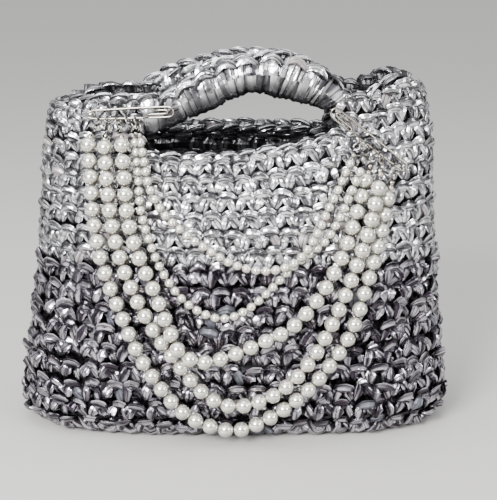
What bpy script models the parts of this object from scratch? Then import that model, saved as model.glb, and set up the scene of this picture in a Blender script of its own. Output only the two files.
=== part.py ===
"""A soft crocheted handbag: a hollow two-colour body, two handles, and pearl strands hung from two pins."""

import math
from collections import namedtuple

import bmesh
import bpy
from mathutils import Vector

# Driving sizes of the body, in metres
BODY_WIDTH = 0.284
BODY_DEPTH = 0.144
SHOULDER_HEIGHT = 0.220
COLOUR_CHANGE_HEIGHT = 0.115
WALL = 0.009
BASE_THICKNESS = 0.009
RIM_ROUNDING = 0.003
GAP = 0.0003

# Hand holes and handles
HOLE_LEFT = -0.2042 * BODY_WIDTH
HOLE_RIGHT = 0.2183 * BODY_WIDTH
HANDLE_THICKNESS = 0.020
HANDLE_LEVEL = 0.95

# Pearl strands
LARGE_PEARL = 0.010
SMALL_PEARL = 0.006
THREAD_RADIUS = 0.0012
END_BALL = 0.0040
EYE_RADIUS = 0.0021
EYE_WIRE_RADIUS = 0.0005
EYE_OPENING = math.radians(42)
EYE_START = math.radians(18)
STEM = 0.0004
SMALL_BALL_SHARE = 0.8

# Pins and jump rings
PIN_WIRE_RADIUS = 0.0006
COIL_RADIUS = 0.0026
PIN_ARM_SPREAD = 0.0034
GUARD_INNER_SPREAD = 0.0012
PIN_STANDOFF = 0.0042
RING_RADIUS = 0.0032
RING_WIRE_RADIUS = 0.0005
RING_YAW = math.radians(25)
GUARD_LENGTH = 0.017

# Mesh fineness
COLUMNS = 40
OUTLINE_STEPS = 720
BEAD_SIDES = 10
WIRE_SIDES = 5
PIN_SIDES = 5
COIL_STEPS = 10
COIL_TURN = math.radians(540)
GUARD_STEPS = 5
EYE_STEPS = 7
ROUTE_STEPS = 24
TUBE_SPACING = 0.012
TUBE_BEVEL_STEPS = 2
SLOPE_STEP = 0.001
SHARP_EDGE = math.radians(50)

# A bead is two wide rings between its necks, and the rim of the wall two rings across its top
BEAD_RING_OFFSET = 0.42
BEAD_RING_WIDTH = 0.95
CROWN_INSETS = (0.28, 0.72)

# Body sections from the base up: height and sizes are shares of the driving sizes
Section = namedtuple("Section", "height width depth squareness lean")
SECTIONS = (
    Section(0.000, 0.940, 0.860, 3.2, -0.012),
    Section(0.055, 1.000, 0.960, 3.2, -0.012),
    Section(0.160, 0.987, 1.000, 3.1, -0.011),
    Section(0.350, 0.948, 0.980, 3.0, -0.007),
    Section(0.520, 0.926, 0.910, 2.9, -0.002),
    Section(0.680, 0.908, 0.780, 2.8, 0.003),
    Section(0.840, 0.894, 0.620, 2.6, 0.006),
    Section(0.930, 0.868, 0.560, 2.5, 0.010),
    Section(1.000, 0.828, 0.530, 2.5, 0.020),
    Section(1.050, 0.790, 0.515, 2.5, 0.024),
)

# Height of the top edge across the bag, with its rounded left and horned right shoulder
Edge = namedtuple("Edge", "across height")
EDGES = (
    Edge(-1.00, 0.955),
    Edge(-0.93, 0.965),
    Edge(-0.80, 0.990),
    Edge(-0.60, 0.990),
    Edge(0.55, 1.005),
    Edge(0.68, 0.995),
    Edge(0.80, 1.020),
    Edge(0.88, 1.038),
    Edge(0.95, 1.030),
    Edge(1.00, 1.010),
)

# Lower rims of the two hand holes, along the hole from left to right
Rim = namedtuple("Rim", "along front back")
RIMS = (
    Rim(0.00, 0.836, 0.858),
    Rim(0.25, 0.829, 0.860),
    Rim(0.50, 0.834, 0.860),
    Rim(0.75, 0.856, 0.858),
    Rim(1.00, 0.882, 0.856),
)

# Handle bars along the hole: heights are shares of the shoulder height, thickness of the handle's own
Bar = namedtuple("Bar", "along front_top front_under back_top back_under thickness")
BARS = (
    Bar(0.00, 0.986, 0.868, 0.992, 0.905, 0.46),
    Bar(0.14, 0.998, 0.898, 1.032, 0.930, 0.58),
    Bar(0.25, 1.032, 0.925, 1.050, 0.948, 0.80),
    Bar(0.36, 1.064, 0.950, 1.066, 0.962, 0.92),
    Bar(0.46, 1.090, 0.978, 1.078, 0.972, 1.00),
    Bar(0.57, 1.102, 0.993, 1.082, 0.975, 1.00),
    Bar(0.69, 1.113, 0.980, 1.076, 0.970, 1.00),
    Bar(0.79, 1.098, 0.968, 1.060, 0.956, 0.98),
    Bar(0.88, 1.073, 0.955, 1.036, 0.940, 0.90),
    Bar(0.94, 1.050, 0.945, 1.018, 0.928, 0.72),
    Bar(1.00, 1.010, 0.932, 0.996, 0.915, 0.48),
)
BAR_SIDES = 10

# Rings of the wall as shares of the height between its lower and upper edge
LOWER_RINGS = (0.0, 0.10, 0.30, 0.62, 1.0)
UPPER_RINGS = (0.0, 0.30, 0.62, 0.84, 1.0)


# Routes of the pearl strands over the front, as shares of the bag's width and shoulder height,
# and how many large pearls a strand is lifted off the wall where it lies over another
Route = namedtuple("Route", "across height lift")
STRAND_ROUTES = {
    "pearl_strand_outer": (
        Route(-0.3239, 0.8500, 0.00),
        Route(-0.3169, 0.7409, 0.00),
        Route(-0.3099, 0.6364, 0.00),
        Route(-0.2887, 0.5182, 0.00),
        Route(-0.2535, 0.4000, 0.00),
        Route(-0.2148, 0.2818, 0.00),
        Route(-0.1620, 0.1727, 0.00),
        Route(-0.1127, 0.1000, 0.00),
        Route(-0.0528, 0.0591, 0.00),
        Route(0.0070, 0.0500, 0.00),
        Route(0.0704, 0.0864, 0.00),
        Route(0.1356, 0.1477, 0.00),
        Route(0.1937, 0.2273, 0.00),
        Route(0.2500, 0.3364, 0.00),
        Route(0.2817, 0.4591, 0.00),
        Route(0.3099, 0.5818, 0.00),
        Route(0.3310, 0.7045, 0.00),
    ),
    "pearl_strand_middle": (
        Route(-0.2870, 0.8455, 0.00),
        Route(-0.2799, 0.7364, 0.05),
        Route(-0.2711, 0.6455, 0.00),
        Route(-0.2500, 0.5409, 0.00),
        Route(-0.2183, 0.4409, 0.00),
        Route(-0.1761, 0.3409, 0.00),
        Route(-0.1303, 0.2591, 0.00),
        Route(-0.0775, 0.1727, 0.00),
        Route(-0.0176, 0.1273, 0.00),
        Route(0.0528, 0.1409, 0.00),
        Route(0.1127, 0.1886, 0.00),
        Route(0.1585, 0.2545, 0.00),
        Route(0.1937, 0.3273, 0.00),
        Route(0.2289, 0.4227, 0.00),
        Route(0.2606, 0.5273, 0.10),
        Route(0.2870, 0.6273, 0.45),
        Route(0.3081, 0.7409, 0.65),
    ),
    "pearl_strand_inner": (
        Route(-0.2482, 0.8545, 0.22),
        Route(-0.2430, 0.7545, 0.00),
        Route(-0.2342, 0.6500, 0.00),
        Route(-0.2095, 0.5500, 0.00),
        Route(-0.1743, 0.4500, 0.00),
        Route(-0.1461, 0.3636, 0.40),
        Route(-0.1180, 0.2955, 0.88),
        Route(-0.0669, 0.2659, 0.40),
        Route(-0.0141, 0.2773, 0.00),
        Route(0.0528, 0.3136, 0.00),
        Route(0.1162, 0.3545, 0.00),
        Route(0.1655, 0.4182, 0.00),
        Route(0.2042, 0.4909, 0.00),
        Route(0.2359, 0.5727, 0.00),
        Route(0.2606, 0.6636, 0.00),
        Route(0.2817, 0.7568, 0.00),
    ),
    "small_pearl_strand_lower": (
        Route(-0.2201, 0.8591, 0.00),
        Route(-0.2130, 0.7727, 0.00),
        Route(-0.2077, 0.6818, 0.00),
        Route(-0.1866, 0.5909, 0.00),
        Route(-0.1585, 0.5091, 0.00),
        Route(-0.1127, 0.4318, 0.00),
        Route(-0.0563, 0.3886, 0.00),
        Route(-0.0106, 0.3864, 0.00),
        Route(0.0352, 0.4182, 0.00),
        Route(0.0775, 0.4682, 0.00),
        Route(0.1162, 0.5182, 0.00),
        Route(0.1514, 0.5545, 0.00),
        Route(0.1937, 0.5955, 0.00),
        Route(0.2236, 0.6545, 0.10),
        Route(0.2447, 0.7182, 0.40),
        Route(0.2676, 0.7864, 0.88),
    ),
    "small_pearl_strand_upper": (
        Route(-0.2060, 0.8636, 0.45),
        Route(-0.1972, 0.8000, 0.38),
        Route(-0.1866, 0.7364, 0.10),
        Route(-0.1585, 0.6727, 0.00),
        Route(-0.1127, 0.6182, 0.00),
        Route(-0.0599, 0.5727, 0.00),
        Route(-0.0070, 0.5364, 0.10),
        Route(0.0493, 0.5227, 0.45),
        Route(0.1021, 0.5318, 0.66),
        Route(0.1408, 0.5614, 0.66),
        Route(0.1725, 0.6136, 0.30),
        Route(0.2007, 0.6818, 0.05),
        Route(0.2254, 0.7409, 0.05),
        Route(0.2482, 0.8023, 0.10),
    ),
}

# Pins: where the coil and the head lie on the front, as shares of its width and shoulder height,
# and how far each is lifted off the wall, in metres
Pin = namedtuple("Pin", "coil_across coil_height coil_lift head_across head_height head_lift")
PINS = {
    "left_pin": Pin(-0.3187, 0.9318, 0.0012, -0.1373, 0.9477, 0.0040),
    "right_pin": Pin(0.3715, 0.7818, 0.0015, 0.2077, 0.9500, 0.0040),
}
# Where each strand hangs along its pin's arm, measured from the coil as a share of the bag's width
HANGERS = {
    "left_pin": (0.0194, 0.0387, 0.0616, 0.0845, 0.1039),
    "right_pin": (0.0211, 0.0634, 0.0810, 0.1021, 0.1232),
}


def blend(rows, name, key, at):
    """Reads one column of a table at a key value, on a smooth curve through its rows."""
    keys = [getattr(row, key) for row in rows]
    values = [getattr(row, name) for row in rows]
    at = min(max(at, keys[0]), keys[-1])
    index = max(i for i in range(len(keys) - 1) if keys[i] <= at)
    span = keys[index + 1] - keys[index]
    share = (at - keys[index]) / span
    before = values[max(index - 1, 0)]
    start, end = values[index], values[index + 1]
    after = values[min(index + 2, len(values) - 1)]
    slope_in = (end - before) / 2
    slope_out = (after - start) / 2
    cube, square = share**3, share**2
    return (
        start * (2 * cube - 3 * square + 1)
        + slope_in * (cube - 2 * square + share)
        + end * (3 * square - 2 * cube)
        + slope_out * (cube - square)
    )


def section_at(height):
    """Half width, half depth, squareness and centre of the body at a height."""
    share = height / SHOULDER_HEIGHT
    return (
        BODY_WIDTH / 2 * blend(SECTIONS, "width", "height", share),
        BODY_DEPTH / 2 * blend(SECTIONS, "depth", "height", share),
        blend(SECTIONS, "squareness", "height", share),
        BODY_WIDTH / 2 * blend(SECTIONS, "lean", "height", share),
    )


def front_depth(x, height):
    """How far the outer wall stands from the middle plane at a place across the bag."""
    half_width, half_depth, squareness, centre = section_at(height)
    across = min(abs(x - centre) / half_width, 1.0)
    return half_depth * (1 - across**squareness) ** (1 / squareness)


def outline(height, inset, count):
    """Points evenly spaced round the body at a height, from the front centre to the right."""
    half_width, half_depth, squareness, centre = section_at(height)
    dense = []
    for step in range(OUTLINE_STEPS):
        turn = math.tau * step / OUTLINE_STEPS - math.pi / 2
        cosine, sine = math.cos(turn), math.sin(turn)
        x = half_width * math.copysign(abs(cosine) ** (2 / squareness), cosine)
        y = half_depth * math.copysign(abs(sine) ** (2 / squareness), sine)
        dense.append(Vector((x, y, 0)))
    lengths = [0.0]
    for step in range(OUTLINE_STEPS):
        lengths.append(lengths[-1] + (dense[(step + 1) % OUTLINE_STEPS] - dense[step]).length)
    points = []
    step = 0
    for index in range(count):
        wanted = lengths[-1] * index / count
        while lengths[step + 1] < wanted:
            step += 1
        share = (wanted - lengths[step]) / (lengths[step + 1] - lengths[step])
        points.append(dense[step].lerp(dense[(step + 1) % OUTLINE_STEPS], share))
    shifted = []
    for index, point in enumerate(points):
        tangent = points[(index + 1) % count] - points[index - 1]
        outward = Vector((tangent.y, -tangent.x, 0)).normalized()
        moved = point - outward * inset
        shifted.append(Vector((moved.x + centre, moved.y, height)))
    return shifted


def outlines(height, inset):
    """The outline at a height, kept so that each is worked out once."""
    key = (round(height, 6), round(inset, 6))
    if key not in OUTLINE_STORE:
        OUTLINE_STORE[key] = outline(height, inset, COLUMNS)
    return OUTLINE_STORE[key]


OUTLINE_STORE = {}


def material(name, colour, roughness, metallic):
    made = bpy.data.materials.new(name)
    made.use_nodes = True
    surface = made.node_tree.nodes["Principled BSDF"]
    surface.inputs["Base Color"].default_value = (*colour, 1)
    surface.inputs["Roughness"].default_value = roughness
    surface.inputs["Metallic"].default_value = metallic
    made.diffuse_color = (*colour, 1)
    return made


def add_object(name, mesh, finish):
    obj = bpy.data.objects.new(name, mesh)
    bpy.context.scene.collection.objects.link(obj)
    mesh.materials.append(finish)
    mesh.shade_smooth()
    mesh.set_sharp_from_angle(angle=SHARP_EDGE)
    return obj


def mesh_from_rings(name, rings, first_cap, last_cap):
    """A closed or ringed skin through rings of equal or halved point counts."""
    made = bmesh.new()
    rows = [[made.verts.new(point) for point in ring] for ring in rings]
    for lower, upper in zip(rows, rows[1:]):
        bridge(made, lower, upper)
    if first_cap:
        made.faces.new(list(reversed(rows[0])))
    if last_cap:
        made.faces.new(rows[-1])
    if not first_cap and not last_cap:
        bridge(made, rows[-1], rows[0])
    bmesh.ops.recalc_face_normals(made, faces=made.faces)
    mesh = bpy.data.meshes.new(name)
    made.to_mesh(mesh)
    made.free()
    return mesh


def bridge(made, lower, upper):
    """Faces between two rings, one of which may have half the points of the other."""
    many = max(len(lower), len(upper))
    low_step = many // len(lower)
    high_step = many // len(upper)
    for index in range(many):
        after = (index + 1) % many
        corners = [
            lower[index // low_step],
            lower[after // low_step],
            upper[after // high_step],
            upper[index // high_step],
        ]
        distinct = [corner for place, corner in enumerate(corners) if corner is not corners[place - 1]]
        made.faces.new(distinct)


def lower_body(finish):
    """The base and the lower wall: down the outside, across the flat base, and up the inside."""
    top = COLOUR_CHANGE_HEIGHT - GAP / 2
    outer = [outlines(top * share, 0) for share in LOWER_RINGS]
    floor = BASE_THICKNESS
    inner = [outlines(floor + (top - floor) * share, WALL) for share in LOWER_RINGS]
    rings = outer + list(reversed(inner))
    return add_object("lower_body", mesh_from_rings("lower_body", rings, True, True), finish)


def top_height(column):
    """Height of the top edge at a column, from how far across the bag the column lies."""
    level = SHOULDER_HEIGHT * HANDLE_LEVEL
    half_width, _, _, centre = section_at(level)
    across = (outlines(level, 0)[column].x - centre) / half_width
    return SHOULDER_HEIGHT * blend(EDGES, "height", "across", across)


def upper_body(finish):
    """The silver wall, with a rounded top edge and the two hand-hole notches cut through it."""
    bottom = COLOUR_CHANGE_HEIGHT + GAP / 2
    tops = [top_height(column) for column in range(COLUMNS)]

    def ring(share, inset, drop):
        points = []
        for column, top in enumerate(tops):
            height = bottom + (top - drop - bottom) * share
            points.append(outlines(height, inset)[column])
        return points

    outer = [ring(share, 0, RIM_ROUNDING) for share in UPPER_RINGS]
    crown = [ring(1.0, WALL * share, 0) for share in CROWN_INSETS]
    inner = [ring(share, WALL, RIM_ROUNDING) for share in reversed(UPPER_RINGS)]
    mesh = mesh_from_rings("upper_body", outer + crown + inner, False, False)
    body = add_object("upper_body", mesh, finish)
    for side, name in ((-1, "front"), (1, "back")):
        cut = body.modifiers.new(f"{name}_hand_hole", "BOOLEAN")
        cut.operation = "DIFFERENCE"
        cut.object = notch_cutter(name, side)
    return body


def notch_cutter(name, side):
    """A block that opens the wall from the hand hole's lower rim up, on the front or the back."""
    above = SHOULDER_HEIGHT + BODY_DEPTH / 2
    reach = BODY_DEPTH
    length = HOLE_RIGHT - HOLE_LEFT
    profile = [(HOLE_LEFT + row.along * length, SHOULDER_HEIGHT * getattr(row, name)) for row in RIMS]
    profile = [(HOLE_LEFT, above)] + profile + [(HOLE_RIGHT, above)]
    near = [Vector((x, 0, z)) for x, z in profile]
    far = [Vector((x, side * reach, z)) for x, z in profile]
    mesh = mesh_from_rings(f"{name}_cutter", [near, far], True, True)
    cutter = bpy.data.objects.new(f"{name}_cutter", mesh)
    bpy.context.scene.collection.objects.link(cutter)
    cutter.hide_render = True
    cutter.display_type = "WIRE"
    return cutter


def handle(name, side, finish):
    """A rounded bar from shoulder to shoulder over a hand hole, arched up over the hand."""
    left = HOLE_LEFT + GAP
    length = HOLE_RIGHT - GAP - left
    rings = []
    for row in BARS:
        top = SHOULDER_HEIGHT * getattr(row, f"{name}_top")
        under = SHOULDER_HEIGHT * getattr(row, f"{name}_under")
        x = left + row.along * length
        middle = side * (front_depth(x, SHOULDER_HEIGHT * HANDLE_LEVEL) - WALL / 2)
        ring = []
        for step in range(BAR_SIDES):
            turn = math.tau * step / BAR_SIDES
            y = middle + HANDLE_THICKNESS / 2 * row.thickness * math.cos(turn)
            z = (top + under) / 2 + (top - under) / 2 * math.sin(turn)
            ring.append(Vector((x, y, z)))
        rings.append(ring)
    mesh = mesh_from_rings(f"{name}_handle", rings, True, True)
    return add_object(f"{name}_handle", mesh, finish)


def smooth_path(points, spacing):
    """Points at even spacing on a smooth curve through the route's own points."""
    dense = []
    for index in range(len(points) - 1):
        before = points[max(index - 1, 0)]
        start, end = points[index], points[index + 1]
        after = points[min(index + 2, len(points) - 1)]
        for step in range(ROUTE_STEPS):
            share = step / ROUTE_STEPS
            slope_in = (end - before) / 2
            slope_out = (after - start) / 2
            cube, square = share**3, share**2
            dense.append(
                start * (2 * cube - 3 * square + 1)
                + slope_in * (cube - 2 * square + share)
                + end * (3 * square - 2 * cube)
                + slope_out * (cube - square)
            )
    dense.append(points[-1])
    total = sum((b - a).length for a, b in zip(dense, dense[1:]))
    count = max(round(total / spacing), 1)
    wanted = [total * index / count for index in range(count + 1)]
    even = [dense[0]]
    run = 0.0
    for start, end in zip(dense, dense[1:]):
        length = (end - start).length
        while len(even) <= count and wanted[len(even)] <= run + length + 1e-12:
            even.append(start.lerp(end, (wanted[len(even)] - run) / length))
        run += length
    if len(even) <= count:
        even.append(dense[-1])
    return even


def tube_rings(points, radii, sides, first_normal):
    """Rings square to a path, turned with it so that the tube isn't twisted."""
    rings = []
    normal = first_normal.normalized()
    for index, point in enumerate(points):
        ahead = points[min(index + 1, len(points) - 1)]
        behind = points[max(index - 1, 0)]
        along = (ahead - behind).normalized()
        normal = (normal - along * normal.dot(along)).normalized()
        across = along.cross(normal)
        count = sides[index]
        ring = []
        for step in range(count):
            turn = math.tau * step / count
            ring.append(point + (normal * math.cos(turn) + across * math.sin(turn)) * radii[index])
        rings.append(ring)
    return rings


def trail_rings(trail, first_normal):
    """Rings along a trail, whose rows hold a place, a radius and a number of sides."""
    places, radii, sides = zip(*trail)
    return tube_rings(places, radii, sides, first_normal)


def bead_profile(centre, along, radius):
    """The two rings of a round bead: where they lie and how wide they are."""
    offset = radius * BEAD_RING_OFFSET
    width = radius * BEAD_RING_WIDTH
    return [(centre - along * offset, width), (centre + along * offset, width)]


def over_front(across, height, distance):
    """The place at a distance in front of the outer wall, square to it."""
    step = SLOPE_STEP
    depth = front_depth(across, height)
    slope_x = (front_depth(across + step, height) - front_depth(across - step, height)) / (2 * step)
    slope_z = (front_depth(across, height + step) - front_depth(across, height - step)) / (2 * step)
    facing = 1 / math.sqrt(1 + slope_x**2 + slope_z**2)
    return Vector((across, -(depth + distance / facing), height))


def route_points(name, bead):
    clear = bead / 2 + GAP
    points = []
    for row in STRAND_ROUTES[name]:
        across, height = row.across * BODY_WIDTH, row.height * SHOULDER_HEIGHT
        points.append(over_front(across, height, clear + row.lift * LARGE_PEARL))
    return points


def pin_frame(pin):
    """A pin's coil centre and its three directions: along, up across and out from the wall."""
    coil_across, coil_height = pin.coil_across * BODY_WIDTH, pin.coil_height * SHOULDER_HEIGHT
    head_across, head_height = pin.head_across * BODY_WIDTH, pin.head_height * SHOULDER_HEIGHT
    coil = over_front(coil_across, coil_height, PIN_STANDOFF + pin.coil_lift)
    head = over_front(head_across, head_height, PIN_STANDOFF + pin.head_lift)
    along = (head - coil).normalized()
    outward = Vector((0, -1, 0))
    outward = (outward - along * outward.dot(along)).normalized()
    across = along.cross(outward)
    if across.z < 0:
        across = -across
    return coil, along, across, outward, (head - coil).length


def hang_point(pin, distance):
    """The place on the pin's front arm where a ring hangs."""
    coil, along, across, _, _ = pin_frame(pin)
    return coil + along * distance - across * COIL_RADIUS


def pin_path(length):
    """The wire of a safety pin as lengths along it, across it and behind its front arm."""
    spread = PIN_ARM_SPREAD
    back = PIN_STANDOFF - PIN_WIRE_RADIUS - GAP
    inner = GUARD_INNER_SPREAD
    head = length - spread
    guard = length - GUARD_LENGTH
    path = [(guard + spread, -COIL_RADIUS, 0.0), (COIL_RADIUS, -COIL_RADIUS, 0.0)]
    for step in range(1, COIL_STEPS + 1):
        share = step / COIL_STEPS
        turn = -math.pi / 2 - COIL_TURN * share
        path.append((COIL_RADIUS * math.cos(turn), COIL_RADIUS * math.sin(turn), back * share))
    path.append((COIL_RADIUS * 2, COIL_RADIUS, back))
    path.append((head, spread, back))
    for step in range(1, GUARD_STEPS + 1):
        turn = math.pi / 2 - math.pi * step / GUARD_STEPS
        path.append((head + spread * math.cos(turn), spread * math.sin(turn), back))
    path.append((guard, -spread, back))
    middle = (spread + inner) / 2
    radius = (spread - inner) / 2
    for step in range(1, GUARD_STEPS - 1):
        turn = -math.pi / 2 - math.pi * step / (GUARD_STEPS - 2)
        path.append((guard + radius * math.cos(turn), -middle + radius * math.sin(turn), back))
    path.append((head - spread / 2, -inner, back))
    for step in range(1, GUARD_STEPS):
        turn = -math.pi / 2 + math.pi * step / (GUARD_STEPS - 1)
        path.append((head - spread / 2 + inner * math.cos(turn), inner * math.sin(turn), back))
    path.append((guard + spread, inner, back))
    return path


def pin_object(name, pin, finish):
    coil, along, across, outward, length = pin_frame(pin)
    points = [coil + along * u + across * v - outward * w for u, v, w in pin_path(length)]
    radii = [PIN_WIRE_RADIUS] * len(points)
    rings = tube_rings(points, radii, [PIN_SIDES] * len(points), outward)
    return add_object(name, mesh_from_rings(name, rings, True, True), finish)


def hanger_frame(bar, bead):
    """Directions of the ring and eye that hang a strand: down, and across each of the two loops."""
    down = (bead - bar).normalized()
    outward = Vector((0, -1, 0))
    outward = (outward - down * outward.dot(down)).normalized()
    side = down.cross(outward)
    ring_across = outward * math.cos(RING_YAW) + side * math.sin(RING_YAW)
    eye_across = side * math.cos(RING_YAW) - outward * math.sin(RING_YAW)
    return down, ring_across, eye_across


RING_DROP = RING_RADIUS - RING_WIRE_RADIUS - PIN_WIRE_RADIUS - 2 * GAP
EYE_DROP = RING_DROP + RING_RADIUS + EYE_RADIUS - EYE_WIRE_RADIUS - RING_WIRE_RADIUS - GAP


def jump_ring(name, bar, bead, finish):
    down, ring_across, eye_across = hanger_frame(bar, bead)
    centre = bar + down * RING_DROP
    rings = []
    for step in range(BEAD_SIDES):
        turn = math.tau * step / BEAD_SIDES
        spoke = down * math.cos(turn) + ring_across * math.sin(turn)
        ring = []
        for corner in range(WIRE_SIDES):
            roll = math.tau * corner / WIRE_SIDES
            reach = RING_RADIUS + RING_WIRE_RADIUS * math.cos(roll)
            ring.append(centre + spoke * reach + eye_across * RING_WIRE_RADIUS * math.sin(roll))
        rings.append(ring)
    return add_object(name, mesh_from_rings(name, rings, False, False), finish)


def eye_and_ball(bar, bead, ball):
    """The wire eye, its stem and the silver ball above a strand's first bead, from the eye's tip down."""
    down, _, eye_across = hanger_frame(bar, bead)
    centre = bar + down * EYE_DROP
    trail = []
    sweep = math.tau - EYE_OPENING - EYE_START
    for step in range(EYE_STEPS + 1):
        turn = EYE_OPENING + sweep * step / EYE_STEPS
        spoke = down * math.cos(turn) + eye_across * math.sin(turn)
        trail.append((centre + spoke * EYE_RADIUS, EYE_WIRE_RADIUS, WIRE_SIDES))
    top = centre + down * (EYE_RADIUS + STEM)
    trail.append((top, EYE_WIRE_RADIUS, WIRE_SIDES))
    middle = top + down * (STEM + ball / 2)
    trail.append((middle - down * ball / 2, EYE_WIRE_RADIUS, BEAD_SIDES))
    for place, width in bead_profile(middle, down, ball / 2):
        trail.append((place, width, BEAD_SIDES))
    return trail, middle + down * ball / 2, down


def large_strand(name, bars, finish):
    """A string of round pearls as one solid, from the eye at its left end to the eye at its right."""
    points = smooth_path(route_points(name, LARGE_PEARL), LARGE_PEARL)
    trail = []
    for index, centre in enumerate(points):
        ahead = points[min(index + 1, len(points) - 1)]
        behind = points[max(index - 1, 0)]
        along = (ahead - behind).normalized()
        neck = centre.lerp(behind, 0.5)
        if index > 0:
            trail.append((neck, THREAD_RADIUS, BEAD_SIDES))
        for place, width in bead_profile(centre, along, LARGE_PEARL / 2):
            trail.append((place, width, BEAD_SIDES))
    first, end_of_first, _ = eye_and_ball(bars[0], points[0], END_BALL)
    last, end_of_last, _ = eye_and_ball(bars[1], points[-1], END_BALL)
    first.append((end_of_first, THREAD_RADIUS, BEAD_SIDES))
    last.append((end_of_last, THREAD_RADIUS, BEAD_SIDES))
    trail = first + trail + list(reversed(last))
    _, ring_across, _ = hanger_frame(bars[0], points[0])
    rings = trail_rings(trail, ring_across)
    return add_object(name, mesh_from_rings(name, rings, True, True), finish)


def small_strand(name, finish):
    """A string of small pearls as one plain tube of their diameter."""
    curve = bpy.data.curves.new(name, "CURVE")
    curve.dimensions = "3D"
    curve.bevel_depth = SMALL_PEARL / 2
    curve.bevel_resolution = TUBE_BEVEL_STEPS
    curve.use_fill_caps = True
    points = smooth_path(route_points(name, SMALL_PEARL), TUBE_SPACING)
    spline = curve.splines.new("POLY")
    spline.points.add(len(points) - 1)
    for target, point in zip(spline.points, points):
        target.co = (*point, 1)
    curve.materials.append(finish)
    obj = bpy.data.objects.new(name, curve)
    bpy.context.scene.collection.objects.link(obj)
    return obj


def small_strand_end(name, bar, bead, finish):
    """The silver ball and wire eye over the first bead of a small string."""
    ball = END_BALL * SMALL_BALL_SHARE
    trail, end, down = eye_and_ball(bar, bead, ball)
    trail.append((end, THREAD_RADIUS, BEAD_SIDES))
    _, ring_across, _ = hanger_frame(bar, bead)
    rings = trail_rings(trail, ring_across)
    return add_object(name, mesh_from_rings(name, rings, True, True), finish)


def main():
    for obj in list(bpy.data.objects):
        bpy.data.objects.remove(obj)
    silver_yarn = material("silver_yarn", (0.62, 0.62, 0.64), 0.32, 0.85)
    gunmetal_yarn = material("gunmetal_yarn", (0.25, 0.22, 0.26), 0.34, 0.85)
    pearl = material("pearl", (0.90, 0.87, 0.80), 0.22, 0.0)
    nickel = material("nickel_wire", (0.66, 0.62, 0.54), 0.25, 1.0)
    lower_body(gunmetal_yarn)
    upper_body(silver_yarn)
    handle("front", -1, silver_yarn)
    handle("back", 1, silver_yarn)
    bars = {}
    for name, pin in PINS.items():
        pin_object(name, pin, nickel)
        bars[name] = [hang_point(pin, share * BODY_WIDTH) for share in HANGERS[name]]
    rings = 0
    ends = 0
    for index, name in enumerate(STRAND_ROUTES):
        bead = SMALL_PEARL if name.startswith("small") else LARGE_PEARL
        points = route_points(name, bead)
        hung_from = (bars["left_pin"][index], bars["right_pin"][index])
        if name.startswith("small"):
            small_strand(name, pearl)
        else:
            large_strand(name, hung_from, pearl)
        for bar, point in zip(hung_from, (points[0], points[-1])):
            rings += 1
            jump_ring(f"jump_ring_{rings:02d}", bar, point, nickel)
            if name.startswith("small"):
                ends += 1
                small_strand_end(f"small_strand_end_{ends}", bar, point, nickel)


if __name__ == "__main__":
    main()
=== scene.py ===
"""A crocheted handbag in silver and gunmetal tape yarn, with pearl strands hung from two safety pins."""

import math

import bmesh
import bpy
import numpy as np
from mathutils import Matrix, Vector
from mathutils.kdtree import KDTree


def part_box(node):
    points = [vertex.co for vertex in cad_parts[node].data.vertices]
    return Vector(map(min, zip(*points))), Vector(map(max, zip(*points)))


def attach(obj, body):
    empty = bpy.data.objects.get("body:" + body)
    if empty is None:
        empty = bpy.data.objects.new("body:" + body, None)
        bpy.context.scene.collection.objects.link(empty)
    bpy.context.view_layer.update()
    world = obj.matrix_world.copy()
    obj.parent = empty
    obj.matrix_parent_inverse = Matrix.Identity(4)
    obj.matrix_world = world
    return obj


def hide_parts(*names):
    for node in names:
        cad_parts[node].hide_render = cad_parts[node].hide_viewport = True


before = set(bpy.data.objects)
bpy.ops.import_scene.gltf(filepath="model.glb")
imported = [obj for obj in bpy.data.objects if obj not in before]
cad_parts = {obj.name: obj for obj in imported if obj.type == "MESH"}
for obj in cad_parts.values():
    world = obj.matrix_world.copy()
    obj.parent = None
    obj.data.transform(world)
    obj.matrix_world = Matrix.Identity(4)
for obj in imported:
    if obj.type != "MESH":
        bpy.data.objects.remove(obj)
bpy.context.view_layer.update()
MM = 0.001


# Camera
# It looks at the front from a little above, as the photograph does.
CAMERA_PLACE = (0.0076, -0.8210, 0.3286)
CAMERA_PITCH = math.radians(75)
CAMERA_LENS = 91.584
CAMERA_SENSOR = 36


def add_object(name, data):
    """A new object of the given data, in the scene."""
    made = bpy.data.objects.new(name, data)
    bpy.context.scene.collection.objects.link(made)
    return made


camera = add_object("camera", bpy.data.cameras.new("camera"))
camera.data.sensor_width = CAMERA_SENSOR
camera.data.lens = CAMERA_LENS
camera.location = CAMERA_PLACE
camera.rotation_euler = (CAMERA_PITCH, 0, 0)
bpy.context.scene.camera = camera


# Lower body
# Nine rounds of thick crochet in a folded gunmetal foil tape, worked up from the base in one piece.
# Each stitch is a front loop lying over two legs, with a plainer back of a bar and a bump inside.
# Rows of SECTIONS: height, width, depth, squareness and lean, as shares of the bag's own sizes
SECTIONS = np.array(
    (
        (0.000, 0.940, 0.860, 3.2, -0.012),
        (0.055, 1.000, 0.960, 3.2, -0.012),
        (0.160, 0.987, 1.000, 3.1, -0.011),
        (0.350, 0.948, 0.980, 3.0, -0.007),
        (0.520, 0.926, 0.910, 2.9, -0.002),
        (0.680, 0.908, 0.780, 2.8, 0.003),
        (0.840, 0.894, 0.620, 2.6, 0.006),
        (0.930, 0.868, 0.560, 2.5, 0.010),
        (1.000, 0.828, 0.530, 2.5, 0.020),
        (1.050, 0.790, 0.515, 2.5, 0.024),
    )
)
WIDTH, DEPTH, SQUARENESS, LEAN = 1, 2, 3, 4
HORN_SHARE = 1.038
lower_low, lower_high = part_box("lower_body")
_, upper_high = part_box("upper_body")
BODY_WIDTH = lower_high.x - lower_low.x
BODY_DEPTH = lower_high.y - lower_low.y
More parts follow.
